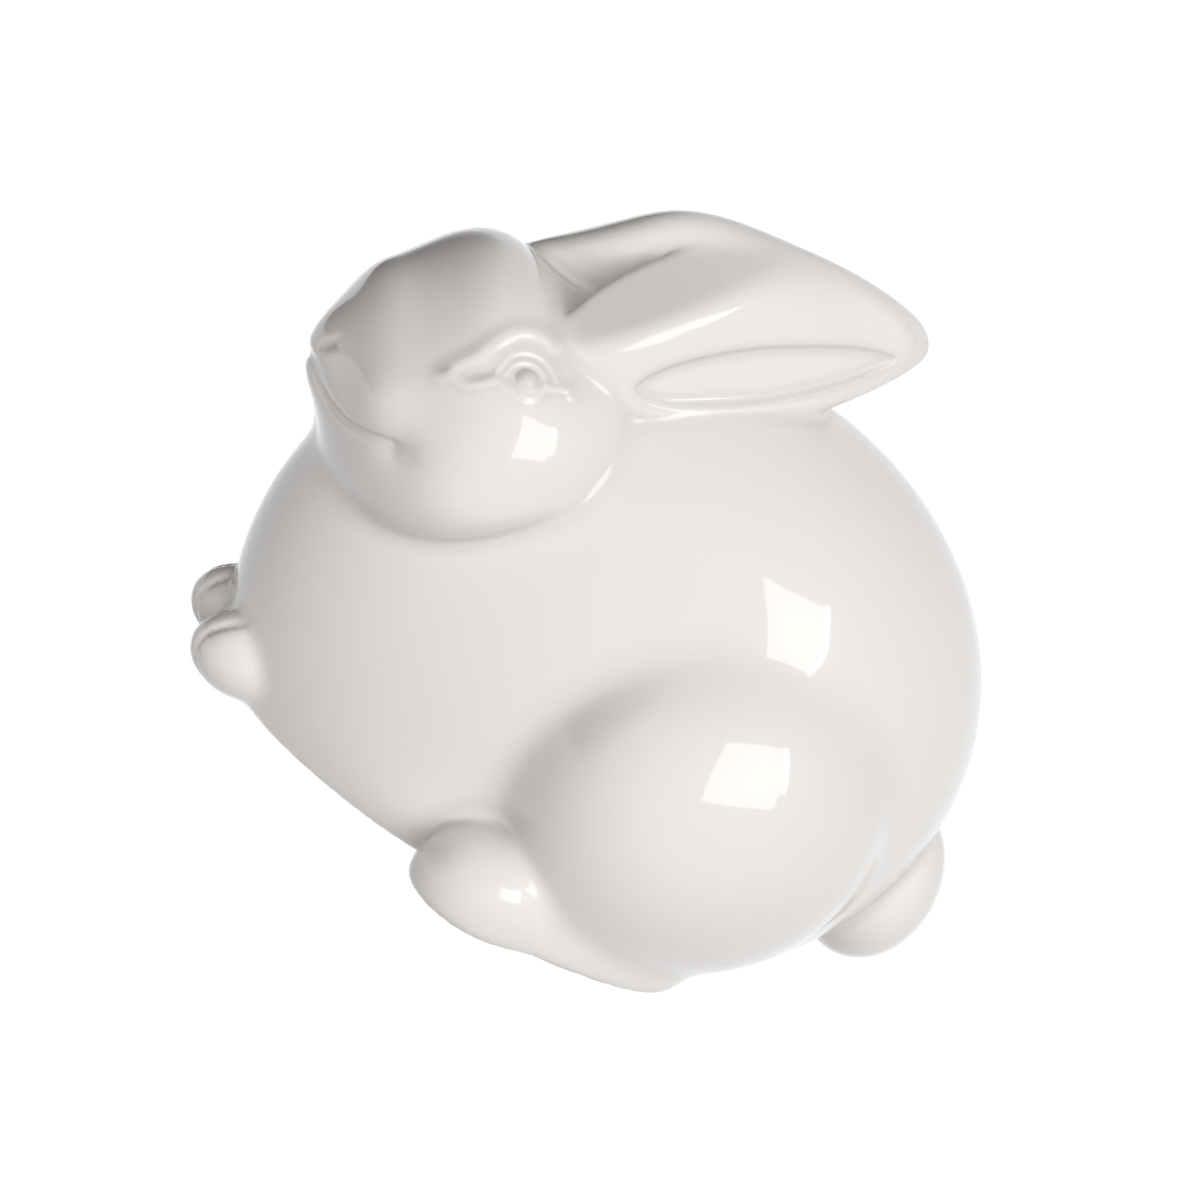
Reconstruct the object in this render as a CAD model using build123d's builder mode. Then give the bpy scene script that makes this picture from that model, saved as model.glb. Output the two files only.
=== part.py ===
"""Crouching rabbit figurine in glazed earthenware, in millimetres.

The rabbit stands on z = 0 and faces -Y, with its left side on +X. The trunk and the head are hollow
slip castings. The ears, haunches, feet, paws and tail are made apart, trimmed to the surface that they
sit on and luted to it with a film of liquid clay.
"""
import os
from math import asin, cos, degrees, radians, sin

from build123d import *

# Clay
WALL = 4.5               # casting thickness of the trunk, head and haunches
LUTE = 0.2               # film of slip between two pieces

# Trunk, an egg cut flat where it stands
TRUNK_Y = -2.0           # centre of the trunk along the length
TRUNK_Z = 33.5           # height of its widest level
TRUNK_SIDE = 38.5        # reach from the centre to either side
TRUNK_FRONT = 64.3
TRUNK_REAR = 67.0
TRUNK_TOP = 56.5
TRUNK_BOTTOM = 59.0
VENT_D = 12.0            # hole in the base that lets the kiln's steam out
VENT_Y = 8.0             # place of the hole behind the trunk's centre
NECK_D = 22.0            # opening between the trunk and the head

# Head, lofted from the nose to the nape on its own tilted plane
HEAD_BACK = 22.0         # centre of the head behind the foremost point of the trunk
HEAD_DROP = 21.8         # centre of the head below the top of the trunk
HEAD_TURN = 5.0          # turned towards the rabbit's left, degrees
HEAD_NOD = 19.0          # nose down, degrees
NOSE_REACH = 32.3
NAPE_REACH = 23.0
NOSE_Z = -0.5            # height of the nose's tip on the head's plane
# Each station: place along the head, half width, level of the widest line, bottom, top
HEAD_STATIONS = [
    (-30.0, 7.5, -1.0, -7.5, 6.0),
    (-26.0, 12.5, -3.5, -15.5, 10.5),
    (-20.0, 17.5, -5.0, -20.5, 16.5),
    (-12.0, 23.5, -6.0, -21.5, 21.5),
    (-2.0, 28.0, -6.0, -19.5, 23.5),
    (8.0, 27.5, -4.0, -18.0, 20.8),
    (16.0, 21.5, -2.0, -14.0, 14.8),
    (21.0, 12.0, 0.0, -7.5, 7.5),
]

# Eyes, a ball in an almond of lids on either side of the head
EYE_X = 22.3             # middle of the eye on the head's plane
EYE_Y = -4.0
EYE_Z = 10.9
EYE_FACES = 34.0         # degrees above level that the eye looks
LIDS_FRONT = 9.0
LIDS_REAR = 7.0
LIDS_HALF_HEIGHT = 4.2
LIDS_PROUD = 1.0
BALL_R = 3.3
BALL_PROUD = 1.8

# Ears, blades laid back along the shoulders with a cup scooped in the outer face
EAR_X = 11.5             # middle of the ear beside the head's midline
EAR_BACK = 21.8          # and behind the head's centre
EAR_RISE = 25.0          # and above it
EAR_PITCH = 25.0         # degrees above level
EAR_CLOSE = 5.5          # degrees that the tips draw together
EAR_LEAN = 20.0          # degrees that the upper edges lean together
EAR_ROOT = 18.0
EAR_TIP = 39.5
EAR_LOWER = 13.5
EAR_UPPER = 15.5
EAR_AHEAD = 4.0          # right ear ahead of the left
EAR_LOWER_SET = 3.0      # and lower
EAR_HALF_THICK = 3.6
CUP_DROP = 4.5           # middle of the cup below the middle of the blade
CUP_ROOT = 14.0
CUP_TIP = 31.0
CUP_HALF_WIDTH = 8.0
CUP_DEPTH = 2.4

# Haunches, domes on the flanks
HAUNCH_SINK = 9.5        # centre of the dome inside the trunk's widest line
HAUNCH_Y = 14.5          # behind the trunk's centre
HAUNCH_BELOW = 0.5       # reach of the dome below the ground before it is cut flat
HAUNCH_SIDE = 21.0
HAUNCH_LENGTH = 33.5
HAUNCH_HEIGHT = 30.5
HAUNCH_PITCH = -15.0     # degrees, front end up
HAUNCH_TURN = -4.0       # degrees, front end out

# Hind feet, beside the haunches
FOOT_SINK = 2.5          # centre of the foot inside the trunk's widest line
FOOT_Y = 4.0             # behind the trunk's centre
FOOT_Z = 3.5
FOOT_SIDE = 8.5
FOOT_LENGTH = 25.5
FOOT_HEIGHT = 11.5
FOOT_TURN = 3.0          # degrees, toes in

# Front paws, side by side under the chest
PAW_X = 7.8
PAW_BACK = 10.2          # centre of the paw behind the foremost point of the trunk
PAW_Z = 6.5
PAW_SIDE = 7.2
PAW_LENGTH = 9.0
PAW_HEIGHT = 7.0

# Tail, a ball against the rump
TAIL_SINK = 0.8          # centre of the tail inside the rearmost point of the trunk
TAIL_Z = 19.3
TAIL_SIDE = 15.0
TAIL_LENGTH = 11.0
TAIL_HEIGHT = 15.5

EGG_TURNS = range(15, 180, 15)   # degrees from the front pole of the rings that shape an egg
TRUNK_RINGS = 10                 # level rings from the base to the back


def ring(plane, y, side, level, bottom, top):
    """Oval section across a plane's Y axis, with its widest line at a level above the plane."""
    across = Plane(plane.from_local_coords((0, y, 0)), x_dir=plane.x_dir, z_dir=-plane.y_dir)
    with BuildSketch(across) as section:
        with BuildLine():
            EllipticalCenterArc((0, level), side, top - level, start_angle=0, arc_size=180)
            EllipticalCenterArc((0, level), side, level - bottom, start_angle=180, arc_size=180)
        make_face()
    return section.sketch


def lofted(plane, front, rings, rear):
    """Smooth closed form through rings, from a front point to a rear point on the plane."""
    ends = [Vertex(*plane.from_local_coords(point)) for point in (front, rear)]
    with BuildPart() as form:
        loft([ends[0], *rings, ends[1]])
    return form.part


def egg(plane, side, front, rear, bottom, top, grow=0.0):
    """Egg on a plane, with its own reach to the front, rear, bottom and top, grown all round."""
    rings = []
    for turn in EGG_TURNS:
        swell = sin(radians(turn))
        reach = (front if turn < 90 else rear) + grow
        y = -reach * cos(radians(turn))
        rings.append(ring(plane, y, (side + grow) * swell, 0, -(bottom + grow) * swell, (top + grow) * swell))
    return lofted(plane, (0, -front - grow, 0), rings, (0, rear + grow, 0))


def turned(origin, turn=0.0, pitch=0.0):
    """Plane at a point, turned about the vertical and then pitched about its own X axis."""
    return Plane(origin).rotated((0, 0, turn)).rotated((pitch, 0, 0))


def trunk_form(grow=0.0):
    """The trunk from its flat base to its back, as level rings, grown or shrunk by an even margin."""
    top = TRUNK_TOP + grow
    low = degrees(asin((-grow - TRUNK_Z) / (TRUNK_BOTTOM + grow)))
    rings = []
    for step in range(TRUNK_RINGS):
        turn = radians(low + (90 - low) * step / TRUNK_RINGS)
        swell = cos(turn)
        level = TRUNK.offset((top if turn > 0 else TRUNK_BOTTOM + grow) * sin(turn))
        with BuildSketch(level) as section:
            with BuildLine():
                EllipticalCenterArc((0, 0), (TRUNK_SIDE + grow) * swell, (TRUNK_REAR + grow) * swell,
                                    start_angle=0, arc_size=180)
                EllipticalCenterArc((0, 0), (TRUNK_SIDE + grow) * swell, (TRUNK_FRONT + grow) * swell,
                                    start_angle=180, arc_size=180)
            make_face()
        rings.append(section.sketch)
    with BuildPart() as form:
        loft([*rings, Vertex(*TRUNK.from_local_coords((0, 0, top)))])
    return form.part


def head_form(grow=0.0):
    """The head's outer form, grown or shrunk by an even margin in each direction."""
    rings = []
    for y, side, level, bottom, top in HEAD_STATIONS:
        along = 1 + grow / (NOSE_REACH if y < 0 else NAPE_REACH)
        rings.append(ring(HEAD, y * along, side + grow * side / HEAD_SIDE, level,
                          bottom + grow * bottom / HEAD_BOTTOM, top + grow * top / HEAD_TOP))
    return lofted(HEAD, (0, -NOSE_REACH - grow, NOSE_Z), rings, (0, NAPE_REACH + grow, 0))


def finish(piece, name):
    """Name a finished piece and write it."""
    piece.part.label = name
    export_step(piece.part, f"parts/{name}.step")


os.makedirs("parts", exist_ok=True)

# Frames of the pieces, each tied to the trunk or to the head
TRUNK = Plane((0, TRUNK_Y, TRUNK_Z))
HEAD_LEVEL = turned((0, TRUNK_Y - TRUNK_FRONT + HEAD_BACK, TRUNK_Z + TRUNK_TOP - HEAD_DROP), HEAD_TURN)
HEAD = HEAD_LEVEL.rotated((HEAD_NOD, 0, 0))
HEAD_SIDE = max(side for _, side, _, _, _ in HEAD_STATIONS)
HEAD_BOTTOM = max(-bottom for _, _, _, bottom, _ in HEAD_STATIONS)
HEAD_TOP = max(top for _, _, _, _, top in HEAD_STATIONS)
GROUND = Plane.XY

# Outer forms that other pieces are trimmed to, with room for the film of slip
trunk_seat = trunk_form(LUTE)
head_seat = head_form(LUTE)

# Trunk: hollow egg with a flat base, a vent and a neck opening under the head
trunk_outer = trunk_form()
trunk_hollow = trunk_form(-WALL)
neck = Plane(TRUNK.origin, z_dir=HEAD.origin - TRUNK.origin)
with BuildPart() as body_shell:
    add(trunk_outer)
    add(trunk_hollow, mode=Mode.SUBTRACT)
    with BuildSketch(GROUND):
        with Locations((0, TRUNK_Y + VENT_Y)):
            Circle(VENT_D / 2)
    extrude(amount=WALL, mode=Mode.SUBTRACT)
    with BuildSketch(neck):
        Circle(NECK_D / 2)
    extrude(amount=TRUNK_FRONT + TRUNK_TOP, mode=Mode.SUBTRACT)
finish(body_shell, "body_shell")

# Head: hollow, open where it sits on the trunk
head_outer = head_form()
head_hollow = head_form(-WALL)
eyes = []
for sign in (1, -1):
    eye = Plane(HEAD.from_local_coords((sign * EYE_X, EYE_Y, EYE_Z)), x_dir=HEAD.x_dir, z_dir=HEAD.z_dir)
    eye = eye.rotated((0, -sign * EYE_FACES, 0))
    eyes.append(egg(eye, LIDS_PROUD, LIDS_FRONT, LIDS_REAR, LIDS_HALF_HEIGHT, LIDS_HALF_HEIGHT))
    eyes.append(egg(eye, BALL_PROUD, BALL_R, BALL_R, BALL_R, BALL_R))
with BuildPart() as head_shell:
    add(head_outer)
    add(eyes)
    add(head_hollow, mode=Mode.SUBTRACT)
    add(trunk_seat, mode=Mode.SUBTRACT)
finish(head_shell, "head_shell")

# Ears: a blade with a scooped cup, mirrored in the head's midplane and trimmed to head and trunk
ear = turned(HEAD_LEVEL.from_local_coords((EAR_X, EAR_BACK, EAR_RISE)), HEAD_TURN + EAR_CLOSE, EAR_PITCH)
ear = ear.rotated((0, -EAR_LEAN, 0))
cup = Plane(ear.from_local_coords((EAR_HALF_THICK, 0, -CUP_DROP)), x_dir=ear.x_dir, z_dir=ear.z_dir)
ear_blade = egg(ear, EAR_HALF_THICK, EAR_ROOT, EAR_TIP, EAR_LOWER, EAR_UPPER)
ear_cup = egg(cup, CUP_DEPTH, CUP_ROOT, CUP_TIP, CUP_HALF_WIDTH, CUP_HALF_WIDTH)
midplane = Plane(HEAD_LEVEL.origin, x_dir=HEAD_LEVEL.y_dir, z_dir=HEAD_LEVEL.x_dir)
with BuildPart() as blade:
    add(ear_blade)
    add(ear_cup, mode=Mode.SUBTRACT)
ahead = Pos(*(HEAD_LEVEL.y_dir * -EAR_AHEAD + HEAD_LEVEL.z_dir * -EAR_LOWER_SET))
for side, blank in (("left", blade.part), ("right", ahead * mirror(blade.part, about=midplane))):
    with BuildPart() as ear_piece:
        add(blank)
        add(head_seat, mode=Mode.SUBTRACT)
        add(trunk_seat, mode=Mode.SUBTRACT)
    finish(ear_piece, f"{side}_ear")

# Haunches, hind feet and front paws, in pairs
for side, sign in (("left", 1), ("right", -1)):
    haunch = turned((sign * (TRUNK_SIDE - HAUNCH_SINK), TRUNK_Y + HAUNCH_Y, HAUNCH_HEIGHT - HAUNCH_BELOW),
                    sign * HAUNCH_TURN, HAUNCH_PITCH)
    haunch_form = (haunch, HAUNCH_SIDE, HAUNCH_LENGTH, HAUNCH_LENGTH, HAUNCH_HEIGHT, HAUNCH_HEIGHT)
    haunch_outer = egg(*haunch_form)
    haunch_hollow = egg(*haunch_form, grow=-WALL)
    haunch_seat = egg(*haunch_form, grow=LUTE)
    with BuildPart() as haunch_piece:
        add(haunch_outer)
        add(haunch_hollow, mode=Mode.SUBTRACT)
        add(trunk_seat, mode=Mode.SUBTRACT)
        split(bisect_by=GROUND, keep=Keep.TOP)
    finish(haunch_piece, f"{side}_haunch")

    foot = turned((sign * (TRUNK_SIDE - FOOT_SINK), TRUNK_Y + FOOT_Y, FOOT_Z), sign * FOOT_TURN)
    foot_form = egg(foot, FOOT_SIDE, FOOT_LENGTH, FOOT_LENGTH, FOOT_HEIGHT, FOOT_HEIGHT)
    with BuildPart() as foot_piece:
        add(foot_form)
        add(trunk_seat, mode=Mode.SUBTRACT)
        add(haunch_seat, mode=Mode.SUBTRACT)
        split(bisect_by=GROUND, keep=Keep.TOP)
    finish(foot_piece, f"{side}_hind_foot")

    paw = Plane((sign * PAW_X, TRUNK_Y - TRUNK_FRONT + PAW_BACK, PAW_Z))
    paw_form = egg(paw, PAW_SIDE, PAW_LENGTH, PAW_LENGTH, PAW_HEIGHT, PAW_HEIGHT)
    with BuildPart() as paw_piece:
        add(paw_form)
        add(trunk_seat, mode=Mode.SUBTRACT)
        split(bisect_by=GROUND, keep=Keep.TOP)
    finish(paw_piece, f"{side}_front_paw")

# Tail
tail = Plane((0, TRUNK_Y + TRUNK_REAR - TAIL_SINK, TAIL_Z))
tail_form = egg(tail, TAIL_SIDE, TAIL_LENGTH, TAIL_LENGTH, TAIL_HEIGHT, TAIL_HEIGHT)
with BuildPart() as tail_piece:
    add(tail_form)
    add(trunk_seat, mode=Mode.SUBTRACT)
finish(tail_piece, "tail")
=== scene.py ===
from math import cos, radians, sin

import bmesh
import bpy
import numpy as np
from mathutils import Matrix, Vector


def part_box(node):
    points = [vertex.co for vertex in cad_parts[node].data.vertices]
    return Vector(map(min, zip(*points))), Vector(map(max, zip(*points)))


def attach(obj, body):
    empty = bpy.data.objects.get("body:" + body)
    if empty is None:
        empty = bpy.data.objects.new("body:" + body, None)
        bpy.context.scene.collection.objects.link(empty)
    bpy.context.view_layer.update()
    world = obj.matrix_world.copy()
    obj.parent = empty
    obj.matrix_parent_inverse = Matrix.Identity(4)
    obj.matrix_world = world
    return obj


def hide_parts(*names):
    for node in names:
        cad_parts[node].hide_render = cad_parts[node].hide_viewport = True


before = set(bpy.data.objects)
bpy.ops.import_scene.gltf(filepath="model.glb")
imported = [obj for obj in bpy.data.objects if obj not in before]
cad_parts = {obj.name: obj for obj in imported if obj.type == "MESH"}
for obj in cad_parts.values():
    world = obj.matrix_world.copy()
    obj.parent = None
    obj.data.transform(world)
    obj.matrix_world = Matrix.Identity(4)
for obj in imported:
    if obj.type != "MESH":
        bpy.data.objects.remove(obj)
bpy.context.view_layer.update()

import openvdb
from mathutils import Matrix, Vector

MM_PER_M, MM = 1000, 0.001
NODES = ["body_shell", "head_shell", "left_ear", "right_ear", "left_haunch", "right_haunch",
         "left_hind_foot", "right_hind_foot", "left_front_paw", "right_front_paw", "tail"]
HOLLOW = {"body_shell", "head_shell", "left_haunch", "right_haunch"}
SHELL = 3.0              # wall of the hollow pieces

# Forms in millimetres and degrees. An egg has its own reach to each side.
# A swelling is its place, its reach and its height, which is negative for a hollow.

# Trunk
TRUNK_CENTRE = np.array([0.0, -2.0, 33.5])
TRUNK = dict(side=38.5, front=64.3, rear=67.0, bottom=59.0, top=56.5)
FLANK_SWELL, FLANK_Y, FLANK_RUN = 0.07, 2.0, 14.0    # the loins are wider than the shoulders
BELLY_SWELL = (33.0, -26.0, 3.0), (12.0, 18.0, 9.0), 1.8
VENT_RADIUS, VENT_Y, VENT_DEEP = 6.0, 6.0, 5.5
VENT_RIM = 0.4           # ring of the vent's roof that stays as its edge

# Head
HEAD_CENTRE = np.array([0.0, -44.3, 68.2])
HEAD_TURN, HEAD_NOD = 5.0, 19.0
NOSE, NAPE, NOSE_LEVEL = -32.3, 23.0, -0.5
# Each station: place along the head, half width, level of the widest line, bottom, top
HEAD_STATIONS = np.array([
    (-30.0, 7.5, -1.0, -7.5, 6.0),
    (-26.0, 13.3, -3.5, -15.5, 11.8),
    (-20.0, 20.3, -6.0, -20.5, 16.9),
    (-12.0, 26.6, -8.0, -21.5, 21.3),
    (-2.0, 28.5, -8.0, -19.5, 22.0),
    (8.0, 26.0, -5.5, -18.0, 16.8),
    (16.0, 20.3, -3.0, -14.0, 12.2),
    (21.0, 12.0, 0.0, -7.5, 6.8),
])
CHEEK_ROUND = 4.5        # half the height over which the brow's curve turns into the jaw's
FACE_SWELLINGS = [
    ((17.0, -24.0, 1.0), (7.0, 6.0, 5.5), 2.0),         # upper lip
    ((6.0, -25.0, -12.5), (7.0, 5.0, 5.0), 0.8),        # chin
    ((25.0, -12.5, -10.0), (12.0, 11.0, 11.0), 2.2),    # cheek
    ((21.0, -19.0, -4.5), (4.0, 3.5, 3.2), -1.0),       # corner of the mouth
    ((16.0, -17.0, -15.5), (9.0, 9.0, 7.0), 3.0),       # jowl
    ((8.0, 12.0, 18.0), (12.0, 7.0, 6.0), -0.8),        # dip before the ears
]
# Lip, as seen from the side: along the head and up
LIP = [(-31.6, -0.2), (-30.5, -2.4), (-28.3, -4.7), (-25.7, -5.1), (-23.0, -4.5), (-20.5, -4.2)]
LIP_WIDE, LIP_DEEP = 1.0, 0.8
NOSTRIL = [(3.8, -30.6, 2.6), (4.6, -30.0, 3.4), (5.4, -29.3, 4.3)]
NOSTRIL_WIDE, NOSTRIL_DEEP = 1.2, 0.4
HEAD_BALL = 33.0         # radius of the ball that stands in for the head further off
HEAD_NEAR = 14.0         # distance from that ball within which the head's own form counts
HEAD_STEP = 0.4          # step for the slope along the head
LEAST_SLOPE = 14.0       # keeps the distance steady near the head's axis
SKIN_NEAR = 6.0          # distance from the skin within which the features count

# Eye, on axes of its own: along from its inner corner, up to the brow, and out
EYE_CENTRE = np.array([22.5, -3.7, 10.9])
EYE_AXES = np.array([(0.279, 0.952, 0.123), (-0.585, 0.067, 0.808), (0.761, -0.297, 0.576)]).T
EYE_NEAR = 17.0          # distance from the middle of the eye within which its lines count
EYE_SWELLINGS = [
    ((-0.5, 2.2), (5.0, 3.6), -0.7),     # socket
    ((-7.4, -0.2), (3.0, 1.3), -0.4),    # inner corner
]
BROW = [(-12.1, -1.2), (-8.2, 1.6), (-4.8, 5.0), (-1.7, 7.4), (1.5, 7.5), (3.6, 6.5)]
LOWER_LID = [(-11.4, -1.2), (-7.6, -2.3), (-4.3, -1.0), (-2.2, -1.8), (-0.1, -2.7), (1.8, -2.3),
             (3.2, -0.7), (6.3, 0.0), (7.2, -0.8)]
UPPER_LID = [(-2.9, 0.2), (-1.8, 1.9), (0.1, 2.6), (2.2, 1.9), (3.4, 0.0)]
LID_FOLD = [(-4.2, 0.3), (-2.6, 3.0), (0.2, 4.2), (3.0, 3.3), (4.6, 1.0)]
BALL_CENTRE, BALL_RADIUS = np.array([0.1, -0.4, -1.4]), 2.0

# Ears
EAR_CENTRE = np.array([11.5, 21.8, 25.0])
EAR_TURN, EAR_PITCH, EAR_LEAN = 5.5, 25.0, 20.0
EAR = dict(side=8.0, front=26.0, rear=41.5, bottom=14.0, top=16.5)
EAR_INSET = -3.5         # middle of the ear's mass behind the blade's middle
POINT_FROM, POINT_POWER, POINT_MOST = 4.0, 1.5, 1.2      # where and how the ear starts to narrow
POINT_TOP, POINT_BOTTOM = 0.24, 0.42                     # how far the tip narrows to a point
BLADE_OUT = 3.2          # flat face of the blade
BLADE_BEND, BLADE_BEND_FROM = 0.004, 6.0
BLADE_TILT, BLADE_TILT_FROM = 0.2, 2.0
# Ridge of the blade's face: how far across it lies, from the root to the tip
RIDGE_ALONG = np.array([-18.0, -5.5, 5.0, 17.5, 27.5, 40.0])
RIDGE_ACROSS = np.array([0.4, 5.6, 9.2, 10.8, 9.0, 5.0])
BEVEL_UP, BEVEL_OUT = 0.84, 0.54                         # way that the bevel above the ridge faces
RIGHT_EAR_SHIFT = np.array([0.0, -3.6, -0.3])
RIGHT_RIDGE_RISE, RISE_FROM, RISE_RUN = 9.5, -4.0, 14.0  # ridge of the right ear above the left's
CUP_ALONG, CUP_ACROSS, CUP_RISE = 6.5, -4.3, 0.12
CUP = dict(side=60.0, front=21.5, rear=27.0, bottom=4.7, top=4.8)
CUP_DEEP, CUP_NARROW = 1.3, 0.3

# Haunches, hind feet, front paws and tail
HAUNCH_CENTRE = np.array([29.0, 12.5, 30.0])
HAUNCH_TURN, HAUNCH_PITCH = 15.5, -15.0
HAUNCH = dict(side=23.0, front=30.5, rear=36.0, bottom=30.5, top=30.5)
HAUNCH_FLAT = (15.0, -13.0, 15.0), (16.0, 19.0, 17.0), -3.0
FOOT_CENTRE = np.array([36.0, 2.0, 3.5])
FOOT_TURN = 3.0
FOOT = dict(side=8.5, front=25.5, rear=25.5, bottom=11.5, top=11.5)
TOE_CENTRE = np.array([38.0, -11.5, 4.5])
TOE = dict(side=9.5, front=12.3, rear=13.0, bottom=11.5, top=9.5)
PAW_CENTRE = np.array([7.8, -57.2, 7.6])
PAW = dict(side=7.2, front=9.0, rear=9.0, bottom=7.0, top=7.0)
GROOVE_APART, GROOVE_DEEP, GROOVE_WIDE, GROOVE_RUN = 4.8, 0.6, 0.7, 6.0
TAIL_CENTRE = np.array([0.0, 64.2, 19.3])
TAIL = dict(side=15.0, front=11.0, rear=11.0, bottom=15.5, top=15.5)

# How softly the glaze rounds each join and edge
HAUNCH_SOFT, FOOT_SOFT, TOE_SOFT, PAW_SOFT, TAIL_SOFT = 6.0, 5.0, 4.0, 4.0, 4.0
CHEEK_SOFT, CHIN_SOFT, CHIN_FROM, CHIN_RUN = 3.0, 6.0, -46.0, 16.0
EAR_SOFT, BLADE_SOFT, BEVEL_SOFT, CUP_FLOOR_SOFT, CUP_RIM_SOFT = 3.0, 4.0, 2.4, 2.2, 1.0
BASE_SOFT, VENT_SOFT, BALL_SOFT = 2.5, 1.0, 0.7

# Mesh
GRID, GRID_MARGIN, GRID_OUTSIDE = 1.0, 5.0, 10.0
EYE_FINE = 13.0          # reach around an eye that has the finest mesh
FACE_FINE_FROM, FACE_FINE = -15.0, 40.0
EAR_FINE = 1.5
SLOPE_STEP, SETTLE_STEP, SETTLE_LEAST = 0.08, 0.05, 0.05
JOIN_LEAST = 0.1         # least share of an edge on either side of a join
CREASE_REACH = 1.6       # distance over which a crease or an edge is measured


def spin(axis, degrees):
    return np.array(Matrix.Rotation(radians(degrees), 3, axis))


HEAD_LEVEL_AXES = spin("Z", HEAD_TURN)
HEAD_AXES = spin("X", HEAD_NOD) @ HEAD_LEVEL_AXES
EAR_AXES = spin("Y", -EAR_LEAN) @ spin("X", EAR_PITCH) @ spin("Z", HEAD_TURN + EAR_TURN)
HAUNCH_AXES = spin("X", HAUNCH_PITCH) @ spin("Z", HAUNCH_TURN)
FOOT_AXES = spin("Z", FOOT_TURN)


def folded(p):
    """Points with the right side folded onto the left."""
    return np.column_stack([np.abs(p[:, 0]), p[:, 1:]])


def ramp(t):
    """Smooth rise from 0 to 1 around zero."""
    return 0.5 + 0.5 * np.tanh(t)


def egg(p, side, front, rear, bottom, top):
    """Distance to an egg, at points on its own axes."""
    reach = np.stack([np.full(len(p), side), np.where(p[:, 1] < 0, front, rear),
                      np.where(p[:, 2] < 0, bottom, top)], 1)
    q = p / reach
    far = np.sqrt((q * q).sum(1))
    q /= reach
    return far * (far - 1) / np.maximum(np.sqrt((q * q).sum(1)), 1e-6)


def meld(a, b, soft):
    """The nearer of two surfaces, with a round fillet where they meet."""
    share = np.maximum(soft - np.abs(a - b), 0) / soft
    return np.minimum(a, b) - share ** 3 * soft / 6


def carve(a, b, soft):
    """A surface with another cut out of it, with a round edge."""
    return -meld(-a, b, soft)


def curve(xs, ys):
    """Smooth curve through points, going on straight past its ends."""
    n, h = len(xs), np.diff(xs)
    system, right = np.eye(n), np.zeros(n)
    for i in range(1, n - 1):
        system[i, i - 1:i + 2] = h[i - 1], 2 * (h[i - 1] + h[i]), h[i]
        right[i] = 6 * ((ys[i + 1] - ys[i]) / h[i] - (ys[i] - ys[i - 1]) / h[i - 1])
    bend = np.linalg.solve(system, right)
    slope = np.diff(ys) / h - h * (2 * bend[:-1] + bend[1:]) / 6
    last = slope[-1] + h[-1] * (bend[-2] + bend[-1]) / 2

    def at(x):
        inside = np.clip(x, xs[0], xs[-1])
        i = np.clip(np.searchsorted(xs, inside) - 1, 0, n - 2)
        t = inside - xs[i]
        third = (bend[i + 1] - bend[i]) / (6 * h[i])
        y = ys[i] + t * (slope[i] + t * (bend[i] / 2 + t * third))
        return y + np.where(x < xs[0], slope[0], last) * (x - inside)
    return at


def smooth_line(points, steps=5):
    """Finer points on a smooth line through points."""
    points = np.array(points, float)
    along = np.arange(len(points))
    fine = np.linspace(0, len(points) - 1, steps * (len(points) - 1) + 1)
    return np.stack([curve(along, column)(fine) for column in points.T], 1)


def lump(p, centre, reach, height):
    """Height of a soft swelling, or of a hollow where it is negative."""
    return height * np.exp(-(((p - centre) / reach) ** 2).sum(1))


def stroke(p, points, width, height):
    """Height of a rounded ridge along a line, or of a groove where it is negative."""
    rise = np.zeros(len(p))
    close = ((p > points.min(0) - 3 * width) & (p < points.max(0) + 3 * width)).all(1)
    p = p[close]
    best = np.full(len(p), 1e9)
    for a, b in zip(points[:-1], points[1:]):
        t = np.clip((p - a) @ (b - a) / ((b - a) @ (b - a)), 0, 1)
        best = np.minimum(best, ((p - a - t[:, None] * (b - a)) ** 2).sum(1))
    rise[close] = height * np.exp(-best / width ** 2)
    return rise


def through_head(nose, values, nape):
    """Curve along the head through a value at its nose, its stations and its nape."""
    along = np.concatenate([[NOSE], HEAD_STATIONS[:, 0], [NAPE]])
    return curve(along, np.concatenate([[nose], values, [nape]]))


half_widths, levels, bottoms, tops = HEAD_STATIONS[:, 1:].T
squat_tops, squat_bottoms = half_widths / (tops - levels), half_widths / (levels - bottoms)
head_width2 = through_head(0.0, half_widths ** 2, 0.0)
head_level = through_head(NOSE_LEVEL, levels, 0.0)
head_squat_top = through_head(squat_tops[0], squat_tops, squat_tops[-1])
head_squat_bottom = through_head(squat_bottoms[0], squat_bottoms, squat_bottoms[-1])
lip, nostril = smooth_line(LIP), smooth_line(NOSTRIL)
# Each line of the eye, with its width and height
eye_lines = [(smooth_line(BROW), 1.4, 0.5), (smooth_line(LOWER_LID), 0.75, 0.32),
             (smooth_line(UPPER_LID), 0.5, 0.25), (smooth_line(LID_FOLD), 0.55, 0.2)]
ear_ridge = curve(RIDGE_ALONG, RIDGE_ACROSS)


def head_field(x, y, z):
    """Squared measure of the plain head, zero on its surface, and its slopes along x and z."""
    z = z - head_level(y)
    share = ramp(z / CHEEK_ROUND)
    squat = head_squat_bottom(y) * (1 - share) + head_squat_top(y) * share
    return x * x + (squat * z) ** 2 - head_width2(y), 2 * x, 2 * squat * squat * z


def face_rise(p):
    """Height of the face's features above the plain head, on the head's axes."""
    p = folded(p)
    rise = sum(lump(p, *swelling) for swelling in FACE_SWELLINGS)
    rise += stroke(p[:, 1:], lip, LIP_WIDE, -LIP_DEEP)
    rise += stroke(p, nostril, NOSTRIL_WIDE, -NOSTRIL_DEEP)
    return rise


def eye_rise(e):
    """Height of the brow, the lids and the socket, on the eye's axes."""
    flat = e[:, :2]
    rise = sum(lump(flat, *swelling) for swelling in EYE_SWELLINGS)
    return rise + sum(stroke(flat, *line) for line in eye_lines)


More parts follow.
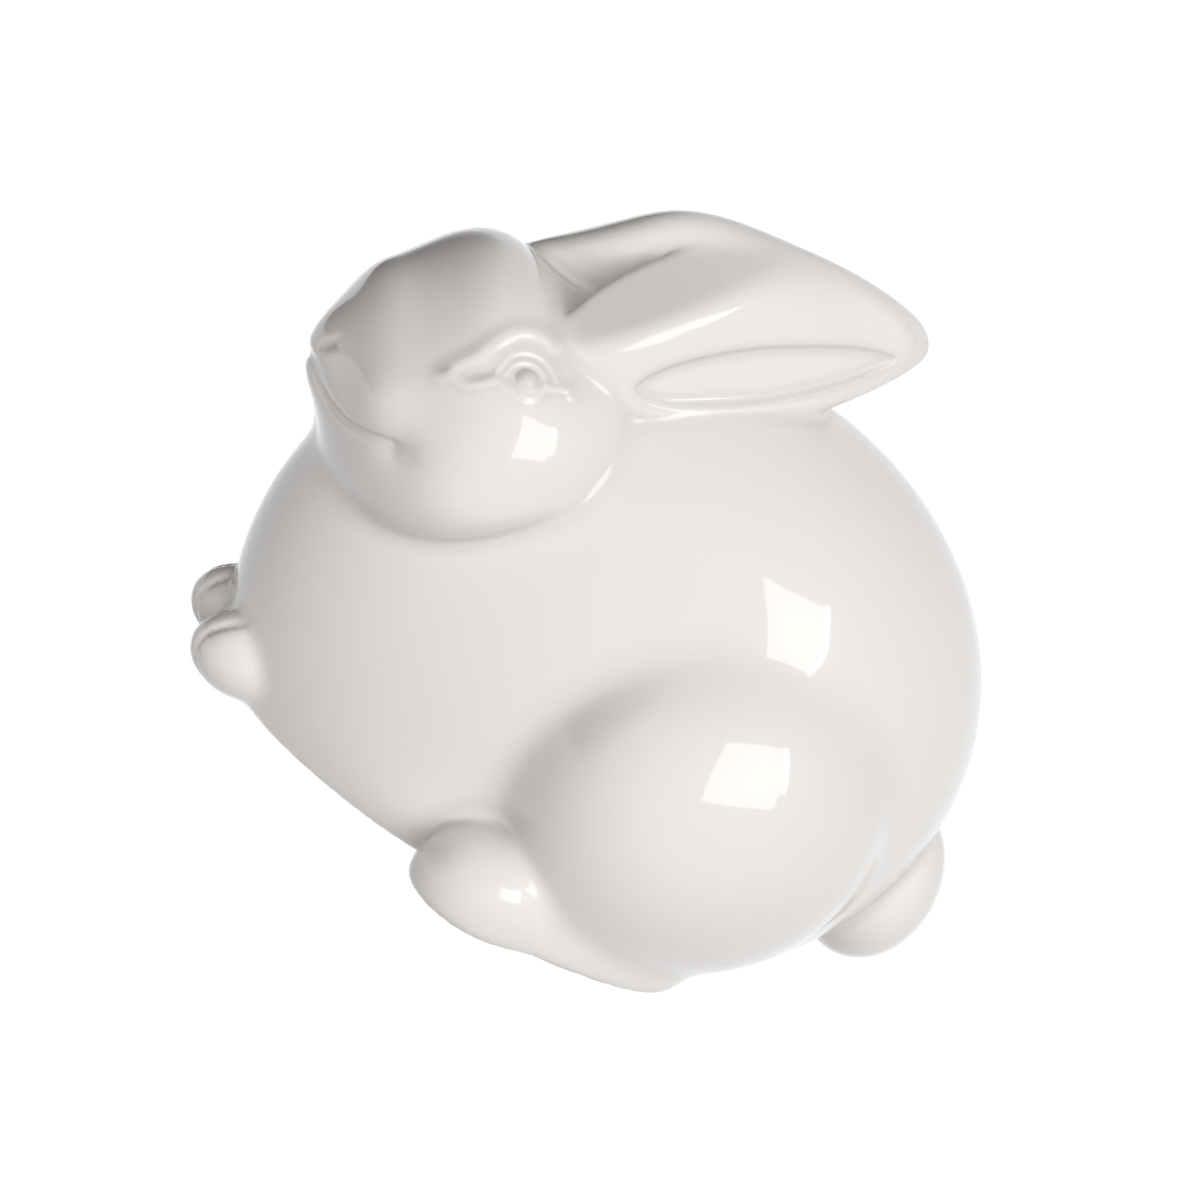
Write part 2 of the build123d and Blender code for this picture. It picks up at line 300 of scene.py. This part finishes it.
def head(p):
    q = (p - HEAD_CENTRE) @ HEAD_AXES
    distance = np.sqrt((q * q).sum(1)) - HEAD_BALL
    near = np.where(distance < HEAD_NEAR)[0]
    x, y, z = q[near].T
    field, along_x, along_z = head_field(x, y, z)
    ahead, behind = head_field(x, y + HEAD_STEP, z)[0], head_field(x, y - HEAD_STEP, z)[0]
    along_y = (ahead - behind) / (2 * HEAD_STEP)
    slope = np.sqrt(along_x ** 2 + along_y ** 2 + along_z ** 2)
    form = field / np.maximum(slope, LEAST_SLOPE)
    skin = np.where(np.abs(form) < SKIN_NEAR)[0]
    form[skin] -= face_rise(q[near[skin]])
    e = (folded(q[near]) - EYE_CENTRE) @ EYE_AXES
    eye = np.where((e * e).sum(1) < EYE_NEAR ** 2)[0]
    form[eye] -= eye_rise(e[eye])
    ball = np.sqrt(((e[eye] - BALL_CENTRE) ** 2).sum(1)) - BALL_RADIUS
    form[eye] = meld(form[eye], ball, BALL_SOFT)
    distance[near] = form
    return distance


def ear(p, ridge_rise=0.0):
    """The left ear: a pointed leaf with a flat face, bevelled above a ridge, and a scooped cup."""
    q = (p - HEAD_CENTRE) @ HEAD_LEVEL_AXES - EAR_CENTRE
    x, y, z = (q @ (HEAD_LEVEL_AXES.T @ EAR_AXES)).T
    tip = np.clip((y - POINT_FROM) / (EAR["rear"] - POINT_FROM), 0, POINT_MOST) ** POINT_POWER
    narrow = 1 - np.where(z > 0, POINT_TOP, POINT_BOTTOM) * tip
    leaf = egg(np.column_stack([x - EAR_INSET, y, z / narrow]), **EAR)
    face = (x - BLADE_OUT + BLADE_BEND * np.maximum(y - BLADE_BEND_FROM, 0) ** 2
            - BLADE_TILT * (z - BLADE_TILT_FROM))
    above = z - ear_ridge(y) - ridge_rise * ramp((y - RISE_FROM) / RISE_RUN)
    bevel = BEVEL_UP * above + BEVEL_OUT * face
    leaf = carve(carve(leaf, -face, BLADE_SOFT), -bevel, BEVEL_SOFT + ridge_rise / 2)
    along = y - CUP_ALONG
    across = z - CUP_ACROSS - CUP_RISE * along
    across /= 1 - CUP_NARROW * np.clip(along / CUP["rear"], 0, 1)
    ring = egg(np.column_stack([np.zeros(len(p)), along, across]), **CUP)
    return carve(leaf, carve(ring, face + CUP_DEEP, CUP_FLOOR_SOFT), CUP_RIM_SOFT)


def right_ear(p):
    q = (p - HEAD_CENTRE) @ HEAD_LEVEL_AXES - RIGHT_EAR_SHIFT
    q[:, 0] *= -1
    return ear(q @ HEAD_LEVEL_AXES.T + HEAD_CENTRE, RIGHT_RIDGE_RISE)


def trunk(p):
    q = p - TRUNK_CENTRE
    q[:, 0] /= 1 + FLANK_SWELL * np.tanh((p[:, 1] - FLANK_Y) / FLANK_RUN)
    return egg(q, **TRUNK) - lump(folded(p), *BELLY_SWELL)


def haunch(p):
    q = (p - HAUNCH_CENTRE) @ HAUNCH_AXES
    return egg(q, **HAUNCH) - lump(q, *HAUNCH_FLAT)


def foot(p):
    return meld(egg((p - FOOT_CENTRE) @ FOOT_AXES, **FOOT), egg(p - TOE_CENTRE, **TOE), TOE_SOFT)


def paw(p):
    """A paw with three toes: two grooves over its front."""
    q = p - PAW_CENTRE
    beside = (np.abs(q[:, 0]) - GROOVE_APART / 2) / GROOVE_WIDE
    return egg(q, **PAW) + GROOVE_DEEP * np.exp(-beside ** 2) * np.clip(-q[:, 1] / GROOVE_RUN, 0, 1)


def tail(p):
    return egg(p - TAIL_CENTRE, **TAIL)


def figure(p):
    """Distance to the whole glazed figure."""
    half = folded(p)
    form = meld(trunk(p), haunch(half), HAUNCH_SOFT)
    form = meld(form, foot(half), FOOT_SOFT)
    form = meld(form, paw(half), PAW_SOFT)
    form = meld(form, tail(p), TAIL_SOFT)
    chin = np.clip((CHIN_FROM - p[:, 1]) / CHIN_RUN, 0, 1)
    throat_soft = CHEEK_SOFT + (CHIN_SOFT - CHEEK_SOFT) * chin * chin * (3 - 2 * chin)
    form = meld(form, head(p), throat_soft)
    form = meld(form, meld(ear(p), right_ear(p), EAR_SOFT), EAR_SOFT)
    form = carve(form, p[:, 2], BASE_SOFT)
    beside_vent = np.hypot(p[:, 0], p[:, 1] - VENT_Y) - VENT_RADIUS
    return carve(form, np.maximum(beside_vent, p[:, 2] - VENT_DEEP), VENT_SOFT)


def nearest(p):
    """Distance to each piece by itself, in the order of the nodes."""
    other = p * (-1, 1, 1)
    return np.stack([trunk(p), head(p), ear(p), right_ear(p), haunch(p), haunch(other),
                     foot(p), foot(other), paw(p), paw(other), tail(p)], 1)


def slopes(p):
    """Way in which the distance to the figure grows."""
    return np.stack([(figure(p + axis) - figure(p - axis)) / (2 * SLOPE_STEP)
                     for axis in np.eye(3) * SLOPE_STEP], 1)


def settle(p, rounds=2):
    """Points moved onto the surface."""
    for _ in range(rounds):
        here = figure(p)
        g = np.stack([(figure(p + axis) - here) / SETTLE_STEP
                      for axis in np.eye(3) * SETTLE_STEP], 1)
        p = p - (here / np.maximum((g * g).sum(1), SETTLE_LEAST))[:, None] * g
    return p


def sides(faces):
    """Both ends of each side of each face."""
    return np.stack([faces, np.roll(faces, -1, 1)], 2).transpose(1, 0, 2).reshape(-1, 2)


def relax(points, faces, rounds):
    """Points spread evenly over the surface."""
    a, b = sides(faces).T
    n = len(points)
    count = np.bincount(a, minlength=n) + np.bincount(b, minlength=n)
    for _ in range(rounds):
        total = np.stack([np.bincount(a, points[b, i], n) + np.bincount(b, points[a, i], n)
                          for i in range(3)], 1)
        points = settle(points + 0.5 * (total / count[:, None] - points), 1)
    return points


def close_to_eyes(p):
    q = folded((p - HEAD_CENTRE) @ HEAD_AXES)
    return np.linalg.norm(q - EYE_CENTRE, axis=1) < EYE_FINE


def close_to_detail(p):
    q = (p - HEAD_CENTRE) @ HEAD_AXES
    face = (q[:, 1] < FACE_FINE_FROM) & (np.linalg.norm(q, axis=1) < FACE_FINE)
    ears = np.minimum(np.abs(ear(p)), np.abs(right_ear(p))) < EAR_FINE
    return face | ears | close_to_eyes(p)


# Mesh of the whole surface
boxes = np.array([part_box(node) for node in NODES]) * MM_PER_M
low, high = boxes[:, 0].min(0) - GRID_MARGIN, boxes[:, 1].max(0) + GRID_MARGIN
counts = np.ceil((high - low) / GRID).astype(int) + 1
axes = [low[i] + GRID * np.arange(counts[i]) for i in range(3)]
grid = np.empty(counts, np.float32)
ys, zs = np.meshgrid(axes[1], axes[2], indexing="ij")
for i, x in enumerate(axes[0]):
    layer = np.column_stack([np.full(ys.size, x), ys.ravel(), zs.ravel()])
    grid[i] = figure(layer).reshape(ys.shape)
volume = openvdb.FloatGrid(GRID_OUTSIDE)
volume.copyFromArray(grid)
points, quads = volume.convertToQuads(0.0)
points = relax(points.astype(float) * GRID + low, quads, 2)

# Finer mesh on the face and the ears, and finest around the eyes
skin = bpy.data.meshes.new("skin")
skin.from_pydata(points, [], quads)
work = bmesh.new()
work.from_mesh(skin)
for wanted in (close_to_detail, close_to_eyes):
    work.verts.index_update()
    chosen = wanted(np.array([v.co for v in work.verts]))
    edges = [e for e in work.edges if chosen[e.verts[0].index] and chosen[e.verts[1].index]]
    bmesh.ops.subdivide_edges(work, edges=edges, cuts=1, use_grid_fill=True)
bmesh.ops.triangulate(work, faces=work.faces[:])
work.verts.index_update()
points = np.array([v.co for v in work.verts])
faces = np.array([[v.index for v in f.verts] for f in work.faces])
work.free()
points = settle(relax(points, faces, 1), 1)
corner = points[faces]
outward = np.cross(corner[:, 1] - corner[:, 0], corner[:, 2] - corner[:, 0])
if (outward * slopes(corner.mean(1))).sum() < 0:
    faces = faces[:, ::-1]


def gathered(label, faces):
    """Labels with each patch that is cut off from its piece given to the piece around it."""
    ends = sides(faces)
    same = ends[label[ends[:, 0]] == label[ends[:, 1]]]
    group, before = np.arange(len(label)), None
    while before is None or (group != before).any():
        before = group.copy()
        np.minimum.at(group, same[:, 0], before[same[:, 1]])
        group = group[group]
    sizes = np.bincount(group, minlength=len(label))
    main = [sizes[group[label == k]].max() for k in range(len(NODES))]
    whole = label.copy()
    for g in np.unique(group):
        if sizes[g] < main[label[g]]:
            around = ends[(group[ends[:, 0]] == g) & (group[ends[:, 1]] != g), 1]
            whole[group == g] = np.bincount(label[around]).argmax()
    return whole


# The surface cut along the joins, one patch for each node
near = nearest(points)
label = gathered(near.argmin(1), faces)
mixed = (label[faces] != label[faces[:, :1]]).any(1)
patches = [[tuple(f) for f in faces[~mixed & (label[faces[:, 0]] == k)]]
           for k in range(len(NODES))]
added, crossing = [], {}


def join(i, j):
    """Point on an edge where two pieces are equally near."""
    i, j = min(i, j), max(i, j)
    if (i, j) not in crossing:
        a, b = label[i], label[j]
        here, there = near[i, a] - near[i, b], near[j, a] - near[j, b]
        share = np.clip(here / (here - there), JOIN_LEAST, 1 - JOIN_LEAST)
        crossing[i, j] = len(points) + len(added)
        added.append(points[i] + share * (points[j] - points[i]))
    return crossing[i, j]


for f in faces[mixed]:
    kinds = label[f]
    if len(set(kinds)) == 3:
        middle = len(points) + len(added)
        added.append(points[f].mean(0))
        for turn in range(3):
            i, j, k = np.roll(f, turn)
            patches[label[i]] += [(i, join(i, j), middle), (i, middle, join(k, i))]
    else:
        odd = next(turn for turn in range(3) if (kinds == kinds[turn]).sum() == 1)
        i, j, k = np.roll(f, -odd)
        patches[label[i]].append((i, join(i, j), join(k, i)))
        patches[label[j]] += [(join(i, j), j, k), (join(i, j), k, join(k, i))]
points = np.concatenate([points, settle(np.array(added))])

# The vent's roof dropped, so that the hole opens into the hollow trunk
middles = points[np.array(patches[0])].mean(1)
in_vent = np.hypot(middles[:, 0], middles[:, 1] - VENT_Y) < VENT_RADIUS - VENT_RIM
in_vent &= middles[:, 2] < 2 * VENT_DEEP
patches[0] = [f for f, dropped in zip(patches[0], in_vent) if not dropped]

normals = slopes(points)
normals /= np.linalg.norm(normals, axis=1)[:, None]
# Bend of the surface: below zero in a crease, above it on an edge
creases = -6 * figure(points)
for axis in np.eye(3) * CREASE_REACH:
    creases += figure(points + axis) + figure(points - axis)
creases /= CREASE_REACH * CREASE_REACH


def placed(name, data):
    """New object in the scene."""
    made = bpy.data.objects.new(name, data)
    bpy.context.scene.collection.objects.link(made)
    return made


def closed_piece(name, patch, thick):
    """A patch of the surface, closed by an inner wall, or by caps over its joins if solid."""
    used, patch = np.unique(np.array(patch), return_inverse=True)
    patch = patch.reshape(-1, 3)
    n, outer, out = len(used), points[used], normals[used]
    ends = sides(patch)
    rim = ends[~np.isin(ends[:, 0] * n + ends[:, 1], ends[:, 1] * n + ends[:, 0])]
    if thick:
        inner = patch[:, ::-1]
        places = np.concatenate([outer, outer - thick * out])
        polygons = patch.tolist() + (inner + n).tolist()
        polygons += [(j, i, i + n, j + n) for i, j in rim.tolist()]
        shade = np.concatenate([out[patch.ravel()], -out[inner.ravel()]])
    else:
        following = dict(rim.tolist())
        places, polygons = list(outer), patch.tolist()
        while following:
            loop = [next(iter(following))]
            while following[loop[-1]] != loop[0]:
                loop.append(following[loop[-1]])
            for i in loop:
                following.pop(i)
            places.append(outer[loop].mean(0) - out[loop].mean(0))
            polygons += [(j, i, len(places) - 1) for i, j in zip(loop, loop[1:] + loop[:1])]
        shade = out[patch.ravel()]
    mesh = bpy.data.meshes.new(name)
    mesh.from_pydata(np.array(places) * MM, [], polygons)
    mesh.update()
    mesh.polygons.foreach_set("use_smooth", np.ones(len(polygons), bool))
    totals = np.empty(len(polygons), int)
    flat = np.empty(len(polygons) * 3)
    mesh.polygons.foreach_get("loop_total", totals)
    mesh.polygons.foreach_get("normal", flat)
    loops = np.repeat(flat.reshape(-1, 3), totals, axis=0)
    loops[:len(shade)] = shade
    mesh.normals_split_custom_set(loops.tolist())
    values = np.zeros(len(places))
    values[:n] = creases[used]
    kind = mesh.attributes.new("crease", "FLOAT", "POINT")
    kind.data.foreach_set("value", values.astype(np.float32))
    return placed(name, mesh)


def feed(tree, value, inlet):
    """An inlet given a number, a colour or another node's outlet."""
    if isinstance(value, bpy.types.NodeSocket):
        tree.links.new(value, inlet)
    else:
        inlet.default_value = value


def new_node(tree, kind, **values):
    """New node of a shader, with its settings and its inlets by name."""
    made = tree.nodes.new(kind)
    for key, value in values.items():
        if hasattr(made, key):
            setattr(made, key, value)
        else:
            feed(tree, value, made.inputs[key.replace("_", " ")])
    return made


def arithmetic(tree, operation, a, b):
    """Outlet of one step of arithmetic on outlets or numbers."""
    made = new_node(tree, "ShaderNodeMath", operation=operation)
    feed(tree, a, made.inputs[0])
    feed(tree, b, made.inputs[1])
    return made.outputs[0]


def new_material(name, build):
    """New material whose shader a function builds in its node tree."""
    material = bpy.data.materials.new(name)
    material.use_nodes = True
    material.node_tree.nodes.clear()
    build(material.node_tree)
    return material


# Tones of the glaze and the clay, painted shade for the creases, and heights in metres between
# which the glaze starts
WHITE_LOW, WHITE_HIGH = (0.85, 0.813, 0.785, 1), (0.885, 0.85, 0.826, 1)
CREASE_SHADE, THIN, CLAY = (0.79, 0.755, 0.715, 1), (0.80, 0.765, 0.735, 1), (0.72, 0.63, 0.53, 1)
BARE_BELOW, GLAZED_ABOVE = 0.0002, 0.0009


def glaze_shader(tree):
    """White glaze over warm clay, with painted shade darkening the creases: thin on edges, wiped
    off the base.
    """
    place = new_node(tree, "ShaderNodeTexCoord").outputs["Object"]
    crease = new_node(tree, "ShaderNodeAttribute", attribute_name="crease").outputs["Fac"]
    height = new_node(tree, "ShaderNodeSeparateXYZ", Vector=place).outputs["Z"]

    def span(value, **ends):
        return new_node(tree, "ShaderNodeMapRange", Value=value, **ends).outputs["Result"]

    def noise(**values):
        return new_node(tree, "ShaderNodeTexNoise", Vector=place, **values).outputs["Fac"]

    def blend(share, a, b):
        made = new_node(tree, "ShaderNodeMix", data_type="RGBA", Factor=share, A=a, B=b)
        return made.outputs["Result"]

    tone = blend(noise(Scale=28.0, Detail=3.0, Roughness=0.55), WHITE_LOW, WHITE_HIGH)
    # Painted shade: the creases are darker
    tone = blend(span(crease, From_Min=0.0, From_Max=-0.25), tone, CREASE_SHADE)
    tone = blend(span(crease, From_Min=0.12, From_Max=0.7), tone, THIN)
    glazed = span(height, From_Min=BARE_BELOW, From_Max=GLAZED_ABOVE)
    ripple = noise(Scale=55.0, Detail=2.0, Roughness=0.4)
    bump = new_node(tree, "ShaderNodeBump", Strength=0.12, Distance=0.0012, Height=ripple)
    shader = new_node(tree, "ShaderNodeBsdfPrincipled", Base_Color=blend(glazed, CLAY, tone),
                      Roughness=span(glazed, To_Min=0.85, To_Max=0.3), IOR=1.5,
                      Specular_IOR_Level=0.25, Coat_Weight=glazed, Coat_Roughness=0.035,
                      Coat_Normal=bump.outputs["Normal"])
    new_node(tree, "ShaderNodeOutputMaterial", Surface=shader.outputs["BSDF"])


glaze = new_material("white_glaze", glaze_shader)
for name, patch in zip(NODES, patches):
    piece = closed_piece("glazed_" + name, patch, SHELL if name in HOLLOW else None)
    piece.data.materials.append(glaze)
    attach(piece, "root")
    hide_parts(name)

# Studio
FLOOR_HALF = 6000
FLOOR_GLOW, FLOOR_LIGHT, FLOOR_MATT = 0.93, 0.05, 0.25    # as seen, as light, and its own tone
WALL_FROM, WALL_TO, WALL_TOP = (450, -560), (-1400, 0), 900
# Each fade of the wall: axis, and the places in metres where it starts and ends
WALL_FADES = [("X", 0.05, 0.4), ("X", -0.7, -1.3), ("Z", 0.3, 0.8)]
# Each glow of the sky: azimuth, elevation and peak
SKY_LEFT, SKY_BEHIND = (85, 9, 3.05), (240, 8, 1.2)
SKY_DIM, SKY_FOCUS, SKY_SEEN = 0.04, 3.6, 1.0
# Each lamp: name, azimuth, elevation, distance, width, height and brightness
LAMPS = [("soft_box", 116, 28, 650, 245, 240, 3.2), ("strip", 129, 30, 650, 26, 200, 4.0)]
LAMP_AIM = np.array([0.0, 0.0, 45.0])


def studio_panel(name, corners, build):
    """Flat panel of the studio, with its own shader."""
    mesh = bpy.data.meshes.new(name)
    mesh.from_pydata([Vector(c) * MM for c in corners], [], [range(len(corners))])
    mesh.materials.append(new_material(name, build))
    panel = placed(name, mesh)
    return panel


def seen(tree):
    """1 for rays from the camera and for mirrored and refracted ones."""
    path = new_node(tree, "ShaderNodeLightPath").outputs
    either = arithmetic(tree, "MAXIMUM", path["Is Camera Ray"], path["Is Glossy Ray"])
    return arithmetic(tree, "MAXIMUM", either, path["Is Transmission Ray"])


def floor_shader(tree):
    """White floor that is brighter to look at than the light that it gives."""
    matt = new_node(tree, "ShaderNodeBsdfDiffuse", Color=(FLOOR_MATT, FLOOR_MATT, FLOOR_MATT, 1))
    strength = new_node(tree, "ShaderNodeMapRange", Value=seen(tree),
                        To_Min=FLOOR_LIGHT, To_Max=FLOOR_GLOW)
    glow = new_node(tree, "ShaderNodeEmission", Strength=strength.outputs["Result"])
    both = new_node(tree, "ShaderNodeAddShader")
    feed(tree, matt.outputs[0], both.inputs[0])
    feed(tree, glow.outputs[0], both.inputs[1])
    new_node(tree, "ShaderNodeOutputMaterial", Surface=both.outputs[0])


def wall_shader(tree):
    """Dark wall that fades into the white studio at its ends and its top."""
    place = new_node(tree, "ShaderNodeTexCoord").outputs["Object"]
    along = new_node(tree, "ShaderNodeSeparateXYZ", Vector=place).outputs
    strength = 0.0
    for axis, begin, end in WALL_FADES:
        fade = new_node(tree, "ShaderNodeMapRange", Value=along[axis], From_Min=begin, From_Max=end)
        strength = arithmetic(tree, "MAXIMUM", strength, fade.outputs["Result"])
    glow = new_node(tree, "ShaderNodeEmission", Strength=strength)
    new_node(tree, "ShaderNodeOutputMaterial", Surface=glow.outputs[0])


def toward(azimuth, elevation):
    """Way from the rabbit to a place around it: 0 before it, 90 to its left."""
    a, e = radians(azimuth), radians(elevation)
    return np.array([sin(a) * cos(e), -cos(a) * cos(e), sin(e)])


def sky_glow(tree, azimuth, elevation, peak):
    """Broad glow of the sky around one direction."""
    way = new_node(tree, "ShaderNodeTexCoord").outputs["Generated"]
    facing = new_node(tree, "ShaderNodeVectorMath", operation="DOT_PRODUCT")
    feed(tree, way, facing.inputs[0])
    feed(tree, toward(azimuth, elevation), facing.inputs[1])
    front = arithmetic(tree, "MAXIMUM", facing.outputs["Value"], 0.0)
    return arithmetic(tree, "MULTIPLY", arithmetic(tree, "POWER", front, SKY_FOCUS), peak)


def sky_shader(tree):
    """White where it is seen; as light, brightest to the rabbit's left and dim before it."""
    glows = arithmetic(tree, "ADD", sky_glow(tree, *SKY_LEFT), sky_glow(tree, *SKY_BEHIND))
    light = arithmetic(tree, "ADD", glows, SKY_DIM)
    level = new_node(tree, "ShaderNodeMix", Factor=seen(tree), A=light, B=SKY_SEEN)
    sky = new_node(tree, "ShaderNodeBackground", Color=(1, 1, 1, 1),
                   Strength=level.outputs["Result"])
    new_node(tree, "ShaderNodeOutputWorld", Surface=sky.outputs[0])


def lamp(name, azimuth, elevation, distance, wide, tall, brightness):
    data = bpy.data.lights.new(name, "AREA")
    data.shape = "RECTANGLE"
    data.size, data.size_y = wide * MM, tall * MM
    data.energy = brightness * np.pi * data.size * data.size_y
    made = placed(name, data)
    away = Vector(toward(azimuth, elevation))
    made.location = Vector(LAMP_AIM * MM) + away * distance * MM
    made.rotation_euler = away.to_track_quat("Z", "Y").to_euler()


# The wall darkens reflections alone
wall = studio_panel("dark_wall", [(*WALL_FROM, 0), (*WALL_TO, 0), (*WALL_TO, WALL_TOP),
                                  (*WALL_FROM, WALL_TOP)], wall_shader)
wall.visible_camera = wall.visible_diffuse = wall.visible_shadow = False
studio_panel("floor", [(-FLOOR_HALF, -FLOOR_HALF, 0), (FLOOR_HALF, -FLOOR_HALF, 0),
                       (FLOOR_HALF, FLOOR_HALF, 0), (-FLOOR_HALF, FLOOR_HALF, 0)], floor_shader)
world = bpy.data.worlds.new("studio")
bpy.context.scene.world = world
world.use_nodes = True
world.node_tree.nodes.clear()
sky_shader(world.node_tree)
for values in LAMPS:
    lamp(*values)

# Camera, rolled as the photograph is turned
CAMERA_AZIMUTH, CAMERA_ELEVATION, CAMERA_ROLL, CAMERA_FAR = 66.88, 20.72, 36.21, 492.1
CAMERA_AIM = np.array([0.0, -2.0, 45.0])
AIM_LEFT, AIM_UP = 7.52, 0.74
FRAME_WIDE = 200.0       # width of the picture at the rabbit
SENSOR = 36.0
back = toward(CAMERA_AZIMUTH, CAMERA_ELEVATION)
level_right = Vector((cos(radians(CAMERA_AZIMUTH)), sin(radians(CAMERA_AZIMUTH)), 0.0))
right = np.array(Matrix.Rotation(radians(CAMERA_ROLL), 3, Vector(back)) @ level_right)
up = np.cross(back, right)
eye_point = CAMERA_AIM + back * CAMERA_FAR
centre = CAMERA_AIM - AIM_LEFT * right + AIM_UP * up
back = (eye_point - centre) / np.linalg.norm(eye_point - centre)
right = np.cross(up, back)
right /= np.linalg.norm(right)
up = np.cross(back, right)
view = bpy.data.cameras.new("camera")
view.sensor_width = SENSOR
view.lens = SENSOR * CAMERA_FAR / FRAME_WIDE
view.clip_start, view.clip_end = 0.01, 50.0
camera = placed("camera", view)
camera.matrix_world = (Matrix.Translation(Vector(eye_point * MM))
                       @ Matrix((right, up, back)).transposed().to_4x4())
bpy.context.scene.camera = camera
bpy.context.scene.view_settings.view_transform = "Standard"

bpy.context.view_layer.update()
